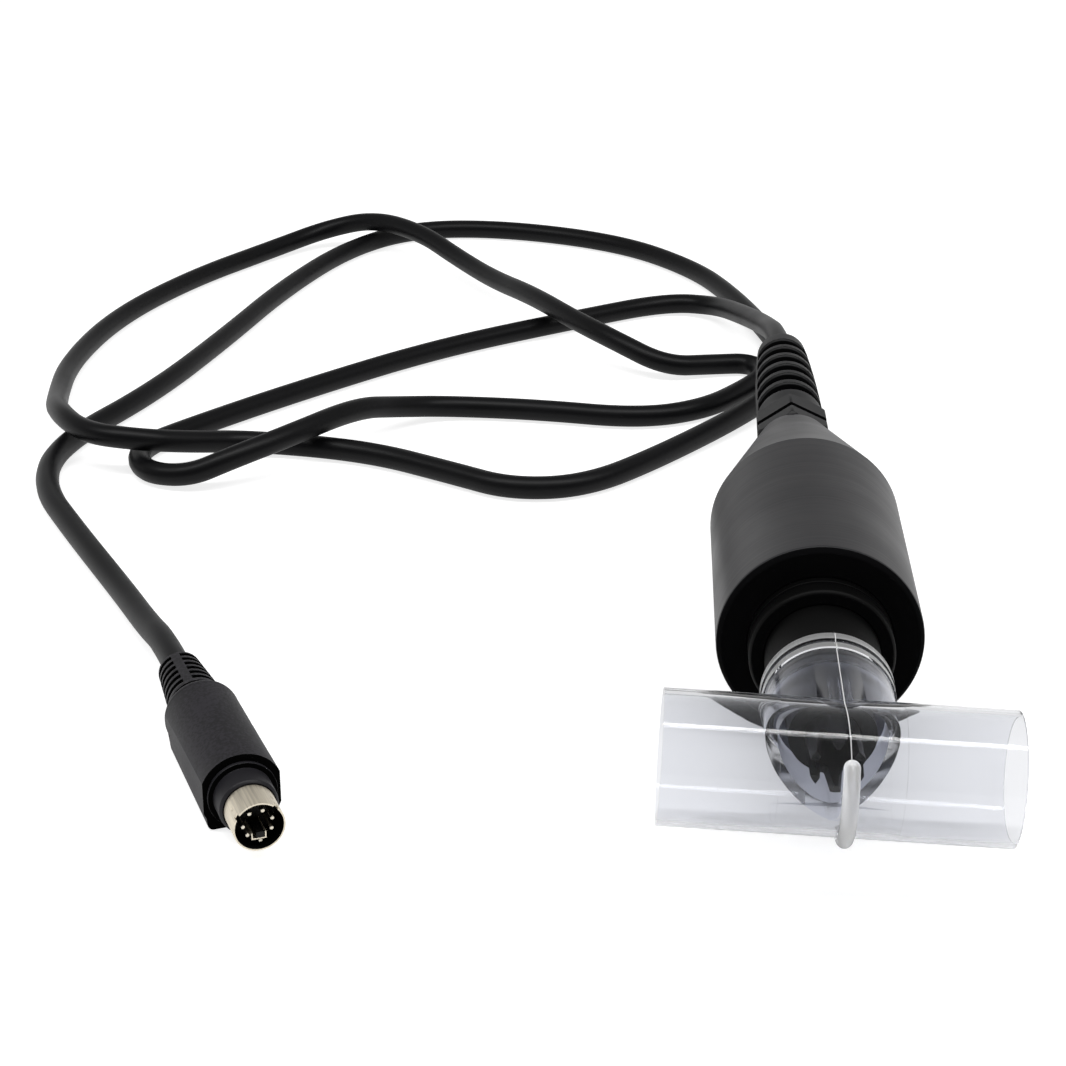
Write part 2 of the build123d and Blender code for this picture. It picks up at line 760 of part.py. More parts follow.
# Cord: straight runs joined by tangent arcs, from the nut's tail to the plug's relief
cord_start = (0, tail_end_y, axis_z)
cord_end = (plug_start[0], plug_start[1], plug_height)
cord_points = [
    (0, 130.5, 20),
    (-2.5, 156.4, 14),
    (-7.5, 181.4, 8.4),
    (-14, 203.4, 3.6),
    (-29, 207.9, 2.8),
    (-54, 191.4, 2.8),
    (-92, 164.4, 2.8),
    (-126, 128.9, 2.8),
    (-150, 100.4, 2.8),
    (-160.5, 85.9, 2.8),
    (-156.5, 70.9, 2.8),
    (-144.5, 66.9, 3.4),
    (-134.5, 69.4, 7.2),
    (-122, 78.4, 9.6),
    (-107, 99.4, 9.6),
    (-98, 111.4, 5.4),
    (-86, 119.4, 2.8),
    (-62, 117.9, 2.8),
    (-36, 112.9, 2.8),
    (-19, 120.4, 2.8),
    (-8, 135.4, 2.8),
    (-2, 146.9, 2.8),
    (-5.5, 156.4, 2.8),
    (-16, 154.9, 2.8),
    (-29, 149.4, 4),
    (-43, 157.4, 8.4),
    (-54, 169.9, 9.6),
    (-67, 191.4, 9.6),
    (-80, 215.4, 6.6),
    (-92, 235.4, 6.8),
    (-105, 252.4, 9.6),
    (-121, 266.4, 9.6),
    (-137, 269.4, 5.2),
    (-152, 254.9, 2.8),
    (-172, 223.4, 2.8),
    (-187, 186.4, 2.8),
    (-192, 147.4, 2.8),
    (-187.5, 114.4, 4.6),
    (-182, 93.4, 9.6),
    (-172, 78.9, 9.6),
    (-158, 74.9, 9.6),
    (-146, 82.9, 6),
    (-133, 92.4, 2.8),
    (-103, 86.9, 2.8),
    (-81, 73.9, 2.8),
    (-66, 64.4, 2.8),
    (-48, 67.4, 2.8),
    (-31, 86.4, 2.8),
    (-8, 118.4, 2.8),
    (6.5, 146.4, 2.8),
    (0.5, 181.4, 2.8),
    (-9, 214.4, 2.8),
    (-20, 240.4, 2.8),
    (-43, 266.4, 2.8),
    (-80, 280.4, 2.8),
    (-110, 278.4, 2.8),
    (-129, 255.4, 2.8),
    (-143, 214.4, 2.8),
    (-153, 169.4, 2.8),
    (-164.5, 125.4, 2.8),
    (-180.5, 88.4, 2.8),
    (-179, 61.4, 2.8),
    (-164, 33.4, 2.8),
    (-146.5, 2.4, 2.8),
    (-137.4, -16.4, 4.4),
    (-131.43, -28.38, 6.6),
]
route = [Vector(cord_start)] + [Vector(point) for point in cord_points] + [Vector(cord_end)]
arc_share = 0.45
bend_radii = []
for before, corner, after in zip(route, route[1:], route[2:]):
    run_in = corner - before
    run_out = after - corner
    half_turn = math.radians(run_in.get_angle(run_out)) / 2
    bend_radii.append(arc_share * min(run_in.length, run_out.length) / math.tan(half_turn))
with BuildPart() as cord:
    with BuildLine():
        cord_path = FilletPolyline(*route, radius=bend_radii)
    with BuildSketch(Plane(origin=cord_path @ 0, z_dir=cord_path % 0)):
        Circle(cord_r)
    sweep()
cord.part.label = "cord"
print("bend radii", [round(radius, 1) for radius in bend_radii])
print("cord length", round(cord_path.length, 1))
print("cord volume", round(cord.part.volume), "section times length",
      round(math.pi * cord_r ** 2 * cord_path.length))

# Every piece to its own file
pieces = [
    housing, retaining_ring, nose_sleeve, nose_seal, flow_diverter, sensor_cell, cell_cushion,
    contact_board, load_resistor, thermistor, lead_connector, lead_wires, inner_cable, gland_body,
    gland_o_ring, gland_insert, gland_nut, tee, cord, plug_grip, plug_collar, plug_shell,
    plug_insert, plug_pins, key_guard,
]
for piece in pieces:
    export_step(piece.part, f"parts/{piece.part.label}.step")
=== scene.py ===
"""Oxygen sensor with a clear tee, a slotted strain relief, a long cord and a round plug.

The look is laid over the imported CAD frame. Lengths are in metres in the row frame: the
sensor's axis runs along +Y towards the cord, +Z is up, and the sensor lies on its barrel.
"""
import json
import logging
import math
from collections.abc import Callable
from dataclasses import dataclass, field
from enum import Enum

import bmesh
import bpy
import numpy as np
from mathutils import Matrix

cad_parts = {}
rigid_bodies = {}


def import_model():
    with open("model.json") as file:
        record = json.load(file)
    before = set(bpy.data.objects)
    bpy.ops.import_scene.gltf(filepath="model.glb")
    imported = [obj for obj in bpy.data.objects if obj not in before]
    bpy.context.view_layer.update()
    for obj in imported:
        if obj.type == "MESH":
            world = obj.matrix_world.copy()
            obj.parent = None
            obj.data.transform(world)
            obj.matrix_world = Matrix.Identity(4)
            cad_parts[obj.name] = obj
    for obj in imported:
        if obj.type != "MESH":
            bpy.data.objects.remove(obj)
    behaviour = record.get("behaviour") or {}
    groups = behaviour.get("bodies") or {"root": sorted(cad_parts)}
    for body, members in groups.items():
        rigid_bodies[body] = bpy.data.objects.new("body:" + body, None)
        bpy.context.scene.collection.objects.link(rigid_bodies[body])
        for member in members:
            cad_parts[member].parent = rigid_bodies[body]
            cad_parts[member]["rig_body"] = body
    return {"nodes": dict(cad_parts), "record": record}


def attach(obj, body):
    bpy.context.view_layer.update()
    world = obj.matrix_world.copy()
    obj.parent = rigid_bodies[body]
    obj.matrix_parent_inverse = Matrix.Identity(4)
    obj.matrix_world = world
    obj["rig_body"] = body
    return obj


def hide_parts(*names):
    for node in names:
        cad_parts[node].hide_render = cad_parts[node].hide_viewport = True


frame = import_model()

LOG = logging.getLogger("oxygen_sensor")
MM = 0.001
FLAT_SHARE = 0.95
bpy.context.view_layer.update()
MOUNTS = {mount["name"]: mount for mount in frame["record"]["mounts"]}


class Facing(Enum):
    """Which of a piece's faces take its second material, on most pieces a darker one as painted shade on faces turned
    from the lamp.
    """

    NONE = (0.0, 0.0, 0.0)
    FRONT = (0.0, -1.0, 0.0)
    PLUG_FRONT = tuple(MOUNTS["plug_shell"]["axis"])
    INWARD = None


@dataclass(frozen=True)
class Spindle:
    """A line that a surface was turned about, the radii at which it is round and where it starts, in metres."""

    centre: tuple[float, float, float]
    way: tuple[float, float, float]
    inner: float = 0.0
    outer: float = 1.0
    start: float = -1.0


SENSOR_SPINDLE = Spindle((0.0, 0.0, 0.020), (0.0, 1.0, 0.0))
PLUG_SPINDLE = Spindle(tuple(MOUNTS["plug_shell"]["pos_m"]), tuple(MOUNTS["plug_shell"]["axis"]))


# ---------------------------------------------------------------- colour and node helpers


def linear(hex_colour: str) -> tuple[float, float, float, float]:
    """Turn an sRGB hex colour into linear values.

    Args:
        hex_colour: Six hex digits with a leading hash.

    Returns:
        Linear red, green and blue with alpha 1.
    """
    parts = [int(hex_colour[i : i + 2], 16) / 255 for i in (1, 3, 5)]
    out = [p / 12.92 if p <= 0.04045 else ((p + 0.055) / 1.055) ** 2.4 for p in parts]
    return (out[0], out[1], out[2], 1.0)


def add_node(tree: bpy.types.NodeTree, kind: str, settings: dict | None = None, links: dict | None = None) -> bpy.types.Node:
    """Add one node with its settings and links.

    Args:
        tree: The node tree that gets the node.
        kind: The node's type name.
        settings: Attribute names, or input names and numbers, to the values they take.
        links: Input names or numbers to the output sockets that feed them.

    Returns:
        The new node.
    """
    node = tree.nodes.new(kind)
    for key, value in (settings or {}).items():
        if isinstance(key, str) and hasattr(node, key):
            setattr(node, key, value)
        else:
            node.inputs[key].default_value = value
    for key, socket in (links or {}).items():
        tree.links.new(socket, node.inputs[key])
    return node


def stops(node: bpy.types.Node, places: list[tuple[float, str]]) -> None:
    """Set a colour ramp's stops.

    Args:
        node: The ramp node.
        places: Each stop's place from 0 to 1 and its hex colour.
    """
    ramp = node.color_ramp
    while len(ramp.elements) > 1:
        ramp.elements.remove(ramp.elements[-1])
    ramp.elements[0].position = places[0][0]
    ramp.elements[0].color = linear(places[0][1])
    for place, colour in places[1:]:
        ramp.elements.new(place).color = linear(colour)


def blank_material(name: str) -> tuple[bpy.types.Material, bpy.types.NodeTree, bpy.types.Node]:
    """Make a material that holds only its shader and output.

    Args:
        name: The material's name.

    Returns:
        The material, its tree and its Principled shader.
    """
    material = bpy.data.materials.new(name)
    material.use_nodes = True
    tree = material.node_tree
    tree.nodes.clear()
    shader = add_node(tree, "ShaderNodeBsdfPrincipled")
    add_node(tree, "ShaderNodeOutputMaterial", links={"Surface": shader.outputs[0]})
    return material, tree, shader


# ---------------------------------------------------------------- finishes


@dataclass(frozen=True)
class MouldedPlastic:
    """Injection-moulded plastic: even colour, a fine spark-eroded grain and slightly uneven gloss."""

    name: str
    colour: str
    roughness: float = 0.5
    grain_mm: float = 0.35
    grain_depth_mm: float = 0.01
    specular: float = 0.5
    colour_drift: float = 0.12
    mottle: float = 0.0

    def material(self) -> bpy.types.Material:
        """Build the material: two sizes of noise drive the grain, the gloss and a faint drift of colour."""
        material, tree, shader = blank_material(self.name)
        place = add_node(tree, "ShaderNodeTexCoord").outputs["Object"]
        fine = add_node(tree, "ShaderNodeTexNoise", {"Scale": 1 / (self.grain_mm * MM), "Detail": 3.0}, {"Vector": place})
        broad = add_node(tree, "ShaderNodeTexNoise", {"Scale": 1 / (14 * MM), "Detail": 2.0}, {"Vector": place})
        rough = add_node(
            tree,
            "ShaderNodeMapRange",
            {"To Min": self.roughness - 0.06, "To Max": self.roughness + 0.08},
            {"Value": broad.outputs[0]},
        )
        specks = add_node(tree, "ShaderNodeMapRange", {"To Min": -self.mottle, "To Max": self.mottle}, {"Value": fine.outputs[0]})
        both = add_node(tree, "ShaderNodeMath", {"operation": "ADD"}, {0: broad.outputs[0], 1: specks.outputs[0]})
        tint = add_node(tree, "ShaderNodeValToRGB", links={"Fac": both.outputs[0]})
        base = np.array(linear(self.colour)[:3])
        tint.color_ramp.elements[0].position = 0.35
        tint.color_ramp.elements[1].position = 0.65
        tint.color_ramp.elements[0].color = (*(base * (1 - self.colour_drift)), 1)
        tint.color_ramp.elements[1].color = (*(base * (1 + self.colour_drift)), 1)
        bump = add_node(
            tree,
            "ShaderNodeBump",
            {"Strength": 0.35, "Distance": self.grain_depth_mm * MM},
            {"Height": fine.outputs[0]},
        )
        shader.inputs["Specular IOR Level"].default_value = self.specular
        shader.inputs["IOR"].default_value = 1.49
        tree.links.new(tint.outputs[0], shader.inputs["Base Color"])
        tree.links.new(rough.outputs[0], shader.inputs["Roughness"])
        tree.links.new(bump.outputs[0], shader.inputs["Normal"])
        return material


@dataclass(frozen=True)
class TurnedAcetal:
    """Black acetal turned on a lathe: satin, with fine rings round the axis where the tool passed."""

    name: str
    colour: str = "#18181a"
    roughness: float = 0.42
    pitch_mm: float = 0.55
    depth_mm: float = 0.006
    specular: float = 0.5

    def material(self) -> bpy.types.Material:
        """Build the material: noise stretched into rings along Y bumps the surface and streaks its gloss."""
        material, tree, shader = blank_material(self.name)
        place = add_node(tree, "ShaderNodeTexCoord").outputs["Object"]
        # The tool marks are drawn coarser than the real 0.1 mm feed, so that they show
        rings = add_node(tree, "ShaderNodeMapping", {"Scale": (6.0, 1 / (self.pitch_mm * MM), 6.0)}, {"Vector": place})
        marks = add_node(tree, "ShaderNodeTexNoise", {"Scale": 1.0, "Detail": 4.0, "Roughness": 0.65}, {"Vector": rings.outputs[0]})
        broad = add_node(tree, "ShaderNodeTexNoise", {"Scale": 1 / (18 * MM), "Detail": 3.0}, {"Vector": place})
        gloss = add_node(tree, "ShaderNodeMath", {"operation": "ADD"}, {0: marks.outputs[0], 1: broad.outputs[0]})
        rough = add_node(
            tree,
            "ShaderNodeMapRange",
            {"From Min": 0.6, "From Max": 1.4, "To Min": self.roughness - 0.09, "To Max": self.roughness + 0.09},
            {"Value": gloss.outputs[0]},
        )
        bump = add_node(
            tree,
            "ShaderNodeBump",
            {"Strength": 0.6, "Distance": self.depth_mm * MM},
            {"Height": marks.outputs[0]},
        )
        shader.inputs["Base Color"].default_value = linear(self.colour)
        shader.inputs["Specular IOR Level"].default_value = self.specular
        shader.inputs["IOR"].default_value = 1.48
        tree.links.new(rough.outputs[0], shader.inputs["Roughness"])
        tree.links.new(bump.outputs[0], shader.inputs["Normal"])
        return material


@dataclass(frozen=True)
class ClearStyrene:
    """Clear moulded plastic: glossy, a little grey through its thickness, frosted where it is polished least."""

    name: str
    tint: str = "#f1f2f5"
    ior: float = 1.33
    roughness: float = 0.03
    clearness: float = 1.0

    def material(self) -> bpy.types.Material:
        """Build the material: clear, with a slow ripple along X where the plastic flowed in the mould."""
        material, tree, shader = blank_material(self.name)
        place = add_node(tree, "ShaderNodeTexCoord").outputs["Object"]
        drawn = add_node(tree, "ShaderNodeMapping", {"Scale": (1 / (16 * MM), 1 / (3 * MM), 1 / (3 * MM))}, {"Vector": place})
        flow = add_node(tree, "ShaderNodeTexNoise", {"Scale": 1.0, "Detail": 2.0}, {"Vector": drawn.outputs[0]})
        bump = add_node(tree, "ShaderNodeBump", {"Strength": 0.12, "Distance": 0.05 * MM}, {"Height": flow.outputs[0]})
        shader.inputs["Base Color"].default_value = linear(self.tint)
        shader.inputs["Roughness"].default_value = self.roughness
        shader.inputs["IOR"].default_value = self.ior
        shader.inputs["Specular IOR Level"].default_value = 0.8
        shader.inputs["Transmission Weight"].default_value = self.clearness
        tree.links.new(bump.outputs[0], shader.inputs["Normal"])
        return material


@dataclass(frozen=True)
class PlatedMetal:
    """Nickel-plated drawn steel or brass: warm light grey, with draw lines along the plug."""

    name: str
    colour: str = "#f2e9d6"
    roughness: float = 0.48
    line_mm: float = 0.35

    def material(self) -> bpy.types.Material:
        """Build the material: noise drawn out along the plug's direction streaks the colour and the gloss."""
        material, tree, shader = blank_material(self.name)
        place = add_node(tree, "ShaderNodeTexCoord").outputs["Object"]
        along = math.atan2(PLUG_SPINDLE.way[1], PLUG_SPINDLE.way[0])
        drawn = add_node(
            tree,
            "ShaderNodeMapping",
            {"vector_type": "TEXTURE", "Rotation": (0.0, 0.0, along), "Scale": (9 * MM, self.line_mm * MM, self.line_mm * MM)},
            {"Vector": place},
        )
        lines = add_node(tree, "ShaderNodeTexNoise", {"Scale": 1.0, "Detail": 3.0}, {"Vector": drawn.outputs[0]})
        rough = add_node(
            tree,
            "ShaderNodeMapRange",
            {"To Min": self.roughness - 0.12, "To Max": self.roughness + 0.12},
            {"Value": lines.outputs[0]},
        )
        base = np.array(linear(self.colour)[:3])
        streak = add_node(tree, "ShaderNodeValToRGB", links={"Fac": lines.outputs[0]})
        streak.color_ramp.elements[0].position = 0.3
        streak.color_ramp.elements[1].position = 0.62
        streak.color_ramp.elements[0].color = (*(base * 0.78), 1)
        streak.color_ramp.elements[1].color = (*base, 1)
        bump = add_node(tree, "ShaderNodeBump", {"Strength": 0.2, "Distance": 0.01 * MM}, {"Height": lines.outputs[0]})
        shader.inputs["Metallic"].default_value = 1.0
        tree.links.new(streak.outputs[0], shader.inputs["Base Color"])
        tree.links.new(rough.outputs[0], shader.inputs["Roughness"])
        tree.links.new(bump.outputs[0], shader.inputs["Normal"])
        return material


# ---------------------------------------------------------------- mesh helpers


def grid_object(name: str, points: np.ndarray, close_u: bool, close_v: bool) -> bpy.types.Object:
    """Make a smooth mesh from a grid of points.

    Row i and column j of the grid make one four-sided face with row i + 1 and column j + 1.

    Args:
        name: The piece's name.
        points: Array of rows by columns by 3, in metres.
        close_u: Whether the last row joins the first.
        close_v: Whether the last column joins the first.

    Returns:
        The new object, linked to the scene, at the origin.
    """
    rows, columns = points.shape[:2]
    index = np.arange(rows * columns).reshape(rows, columns)
    u0 = index if close_u else index[:-1]
    u1 = np.roll(index, -1, axis=0) if close_u else index[1:]
    if close_v:
        quads = np.stack([u0, u1, np.roll(u1, -1, axis=1), np.roll(u0, -1, axis=1)], axis=-1)
    else:
        quads = np.stack([u0[:, :-1], u1[:, :-1], u1[:, 1:], u0[:, 1:]], axis=-1)
    mesh = bpy.data.meshes.new(name)
    mesh.from_pydata(points.reshape(-1, 3).tolist(), [], quads.reshape(-1, 4).tolist())
    mesh.polygons.foreach_set("use_smooth", np.ones(len(mesh.polygons), bool))
    mesh.update()
    piece = bpy.data.objects.new(name, mesh)
    bpy.context.scene.collection.objects.link(piece)
    return piece


def read(items: bpy.types.bpy_prop_collection, name: str, width: int) -> np.ndarray:
    """Read one value of every item of a mesh as an array of that many columns."""
    values = np.empty(len(items) * width)
    items.foreach_get(name, values)
    return values.reshape(-1, width)


def unit_spokes(places: np.ndarray, centre: np.ndarray, axis: np.ndarray) -> np.ndarray:
    """Work out unit vectors that point from an axis square to it at each place.

    The place's offset from the centre, less its share along the axis, is divided by its length.

    Args:
        places: Array of points by 3.
        centre: A point on the axis.
        axis: The axis's unit direction.

    Returns:
        Array of points by 3.
    """
    offset = places - centre
    spoke = offset - (offset @ axis)[:, None] * axis
    return spoke / np.maximum(np.linalg.norm(spoke, axis=1), 1e-9)[:, None]


def shade_turned(mesh: bpy.types.Mesh, spindles: list[Spindle], crisp: bool, lean_deg: float = 8.0) -> None:
    """Shade a mesh's turned walls from their own spindles, so that they show no facets.

    A face is turned about a spindle where, at each of its corners, its normal has almost no share
    across the spindle and the spoke and doesn't look along the spindle, and the corner's radius
    and place are in the spindle's range. There each corner's normal keeps its share along the spindle, and the rest of it is laid along the spoke
    with the face's sign. Other corners keep their own normal.

    Args:
        mesh: The mesh, with shared corners.
        spindles: The spindles to try in turn.
        crisp: Whether the share along the spindle comes from each face alone, so that the profile's
            corners stay sharp, and not from the smooth corner normals.
        lean_deg: How far a facet may lean from the true wall at its corners.
    """
    places = read(mesh.vertices, "co", 3)
    faces = read(mesh.polygons, "normal", 3)
    corners = read(mesh.loops, "vertex_index", 1).astype(int).ravel()
    starts = read(mesh.polygons, "loop_start", 1).astype(int).ravel()
    counts = read(mesh.polygons, "loop_total", 1).astype(int).ravel()
    owner = np.repeat(np.arange(len(counts)), counts)
    normals = read(mesh.corner_normals, "vector", 3)
    for spindle in spindles:
        way = np.array(spindle.way)
        offset = places[corners] - np.array(spindle.centre)
        radius = np.linalg.norm(offset - (offset @ way)[:, None] * way, axis=1)
        spoke = unit_spokes(places[corners], np.array(spindle.centre), way)
        across = np.abs(np.einsum("ij,ij->i", np.cross(way, spoke), faces[owner]))
        fits = (across < math.sin(math.radians(lean_deg))) & (np.abs(faces[owner] @ way) < FLAT_SHARE)
        fits &= (radius > spindle.inner) & (radius < spindle.outer) & (offset @ way > spindle.start)
        turned = np.logical_and.reduceat(fits, starts)[owner]
        leading = faces[owner] if crisp else normals
        along = leading @ way
        sign = np.sign(np.einsum("ij,ij->i", spoke, leading))
        outward = spoke * (sign * np.sqrt(np.clip(1 - along**2, 0, 1)))[:, None]
        normals = np.where(turned[:, None], along[:, None] * way + outward, normals)
    mesh.normals_split_custom_set(normals.tolist())


def slide(mesh: bpy.types.Mesh, spindle: Spindle, found: list[float], wanted: list[float]) -> None:
    """Move a mesh's corners along a spindle, so that the found places come to the wanted ones.

    Between two places the move is shared out evenly, and beyond the last ones it stays the same.

    Args:
        mesh: The mesh to change.
        spindle: The spindle, from whose centre the places are measured.
        found: Places along the spindle, rising, in metres.
        wanted: Where each of them goes, in metres.
    """
    places = read(mesh.vertices, "co", 3)
    way = np.array(spindle.way)
    along = (places - np.array(spindle.centre)) @ way
    move = np.interp(along, found, np.array(wanted) - np.array(found))
    mesh.vertices.foreach_set("co", (places + move[:, None] * way).ravel())
    mesh.update()


def dress(piece: bpy.types.Object, material: bpy.types.Material) -> None:
    """Give a piece one material in every slot it has."""
    piece.data.materials.clear()
    piece.data.materials.append(material)


def merged_copy(node: str) -> bpy.types.Object:
    """Copy a CAD node's loose triangles, join their corners and clear the lines across flat faces.

    Args:
        node: The CAD node's name.

    Returns:
        The copy, linked to the scene, at the origin.
    """
    mesh = frame["nodes"][node].data.copy()
    work = bmesh.new()
    work.from_mesh(mesh)
    bmesh.ops.remove_doubles(work, verts=work.verts, dist=0.001 * MM)
    bmesh.ops.dissolve_degenerate(work, dist=0.002 * MM, edges=work.edges)
    bmesh.ops.dissolve_limit(work, angle_limit=math.radians(0.3), verts=work.verts, edges=work.edges)
    work.to_mesh(mesh)
    work.free()
    piece = bpy.data.objects.new(f"{node}_skin", mesh)
    bpy.context.scene.collection.objects.link(piece)
    return piece


def bake(piece: bpy.types.Object) -> None:
    """Put a piece's modifiers into its mesh."""
    graph = bpy.context.evaluated_depsgraph_get()
    mesh = bpy.data.meshes.new_from_object(piece.evaluated_get(graph))
    piece.modifiers.clear()
    piece.data = mesh


def round_edges(piece: bpy.types.Object, share: np.ndarray, round_mm: float, segments: int) -> None:
    """Round chosen edges of a piece to their full width.

    Args:
        piece: The piece.
        share: For each edge, how much of the width it gets, from 0 to 1.
        round_mm: The full width.
        segments: Into how many strips the rounding is divided.
    """
    weight = piece.data.attributes.new("bevel_weight_edge", "FLOAT", "EDGE")
    weight.data.foreach_set("value", share.astype(np.float32))
    bevel = piece.modifiers.new("round", "BEVEL")
    bevel.width = round_mm * MM
    bevel.segments = segments
    bevel.limit_method = "WEIGHT"
    bevel.use_clamp_overlap = False
    bake(piece)


def soften(piece: bpy.types.Object, round_mm: float, sharp_deg: float) -> None:
    """Round a piece's sharp edges and shade the rest smooth.

    Args:
        piece: The piece, with joined corners.
        round_mm: How far the rounding reaches from the edge.
        sharp_deg: Edges that turn by more than this are rounded.
    """
    if round_mm > 0:
        bevel = piece.modifiers.new("round", "BEVEL")
        bevel.width = round_mm * MM
        bevel.segments = 2
        bevel.limit_method = "ANGLE"
        bevel.angle_limit = math.radians(sharp_deg)
        bake(piece)
    piece.data.polygons.foreach_set("use_smooth", np.ones(len(piece.data.polygons), bool))
    piece.data.set_sharp_from_angle(angle=math.radians(sharp_deg + 6))
    even = piece.modifiers.new("even", "WEIGHTED_NORMAL")
    even.keep_sharp = True
    bake(piece)


def stand_in(piece: bpy.types.Object, node: str) -> None:
    """Let a piece take its CAD node's place and ride on that node's body."""
    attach(piece, frame["nodes"][node]["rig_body"])
    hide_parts(node)


# ---------------------------------------------------------------- the cord


@dataclass
class Cord:
    """The sensor's cord: 5.6 mm PVC sheath, medium stiff, laid in loose loops behind the sensor."""

    diameter: float = 0.0056
    length: float = 1.68
    exit: tuple[float, float, float] = (0.0, 0.1114, 0.020)
    route_mm: list[tuple[float, float, float]] = field(
        default_factory=lambda: [
            (0, 111.4, 20), (0, 130.5, 20), (-2.5, 156.4, 14), (-7.5, 181.4, 8.4), (-14, 203.4, 3.6),
            (-29, 207.9, 2.8), (-54, 191.4, 2.8), (-92, 164.4, 2.8), (-126, 128.9, 2.8),
            (-150, 100.4, 2.8), (-160.5, 85.9, 2.8), (-156.5, 70.9, 2.8), (-144.5, 66.9, 3.4),
            (-134.5, 69.4, 7.2), (-122, 78.4, 9.6), (-107, 99.4, 9.6), (-98, 111.4, 5.4),
            (-86, 119.4, 2.8), (-62, 117.9, 2.8), (-36, 112.9, 2.8), (-19, 120.4, 2.8),
            (-8, 135.4, 2.8), (-2, 146.9, 2.8), (-5.5, 156.4, 2.8), (-16, 154.9, 2.8),
            (-29, 149.4, 4), (-43, 157.4, 8.4), (-54, 169.9, 9.6), (-67, 191.4, 9.6),
            (-80, 215.4, 6.6), (-92, 235.4, 6.8), (-105, 252.4, 9.6), (-121, 266.4, 9.6),
            (-137, 269.4, 5.2), (-152, 254.9, 2.8), (-172, 223.4, 2.8), (-187, 186.4, 2.8),
            (-192, 147.4, 2.8), (-187.5, 114.4, 4.6), (-182, 93.4, 9.6), (-172, 78.9, 9.6),
            (-158, 74.9, 9.6), (-146, 82.9, 6), (-133, 92.4, 2.8), (-103, 86.9, 2.8),
            (-81, 73.9, 2.8), (-66, 64.4, 2.8), (-48, 67.4, 2.8), (-31, 86.4, 2.8),
            (-8, 118.4, 2.8), (6.5, 146.4, 2.8), (0.5, 181.4, 2.8), (-9, 214.4, 2.8),
            (-20, 240.4, 2.8), (-43, 266.4, 2.8), (-80, 280.4, 2.8), (-110, 278.4, 2.8),
            (-129, 255.4, 2.8), (-143, 214.4, 2.8), (-153, 169.4, 2.8), (-164.5, 125.4, 2.8),
            (-180.5, 88.4, 2.8), (-179, 61.4, 2.8), (-164, 33.4, 2.8), (-146.5, 2.4, 2.8),
            (-137.4, -16.4, 4.4), (-131.43, -28.38, 6.6), (-125.93, -41.25, 6.6),
        ]
    )

    def build(self) -> bpy.types.Object:
        """Lay one smooth NURBS line of order 3 on the route's points and give it the cord's thickness.

        Returns:
            The cord's curve object.
        """
        curve = bpy.data.curves.new("cord_curve", "CURVE")
        curve.dimensions = "3D"
        spline = curve.splines.new("NURBS")
        points = np.array(self.route_mm) * MM
        spline.points.add(len(points) - 1)
        spline.points.foreach_set("co", np.column_stack([points, np.ones(len(points))]).ravel())
        spline.order_u = 3
        spline.use_endpoint_u = True
        spline.resolution_u = 12
        curve.resolution_u = 12
        curve.render_resolution_u = 12
        curve.bevel_depth = self.diameter / 2
        curve.bevel_resolution = 6
        curve.use_fill_caps = True
        piece = bpy.data.objects.new("cord_curve", curve)
        bpy.context.scene.collection.objects.link(piece)
        return piece

    def declare(self, piece: bpy.types.Object, material: bpy.types.Material) -> None:
        """Dress the cord and put it in place of its CAD tube.

        Args:
            piece: The cord's curve object.
            material: The sheath's material.
        """
        dress(piece, material)
        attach(piece, "sensor")
        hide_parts("cord")


# ---------------------------------------------------------------- pieces that follow their CAD nodes


@dataclass
class Skin:
    """One CAD node shown as a joined copy with rounded edges and its finish."""

    node: str
    finish: MouldedPlastic | TurnedAcetal | ClearStyrene | PlatedMetal
    round_mm: float = 0.2
    sharp_deg: float = 28.0
    spindle: Spindle = SENSOR_SPINDLE
    second: MouldedPlastic | None = None
    facing: Facing = Facing.NONE
    facing_deg: float = 25.0
    crisp: bool = False
    moves: tuple[list[float], list[float]] = ((), ())
    fit: Callable[[bpy.types.Object], None] | None = None

    def build(self) -> bpy.types.Object:
        """Copy the node, round its edges and put it in the node's place.

        Returns:
            The finished piece.
        """
        piece = merged_copy(self.node)
        if len(self.moves[0]):
            slide(piece.data, self.spindle, *self.moves)
        if self.fit:
            self.fit(piece)
        soften(piece, self.round_mm, self.sharp_deg)
        shade_turned(piece.data, [self.spindle], self.crisp)
        dress(piece, self.finish.material())
        if self.second:
            self.dress_faces(piece)
        stand_in(piece, self.node)
        LOG.info("built %s from %d faces", piece.name, len(piece.data.polygons))
        return piece

    def dress_faces(self, piece: bpy.types.Object) -> None:
        """Give the second material, on most pieces painted shade, to the faces that look the way of self.facing,
        within self.facing_deg.
        """
        piece.data.materials.append(self.second.material())
        normals = read(piece.data.polygons, "normal", 3)
        if self.facing is Facing.INWARD:
            centre, way = np.array(self.spindle.centre), np.array(self.spindle.way)
            toward = -np.einsum("ij,ij->i", normals, unit_spokes(read(piece.data.polygons, "center", 3), centre, way))
        else:
            toward = normals @ np.array(self.facing.value)
        near = toward > math.cos(math.radians(self.facing_deg))
        piece.data.polygons.foreach_set("material_index", near.astype(int))


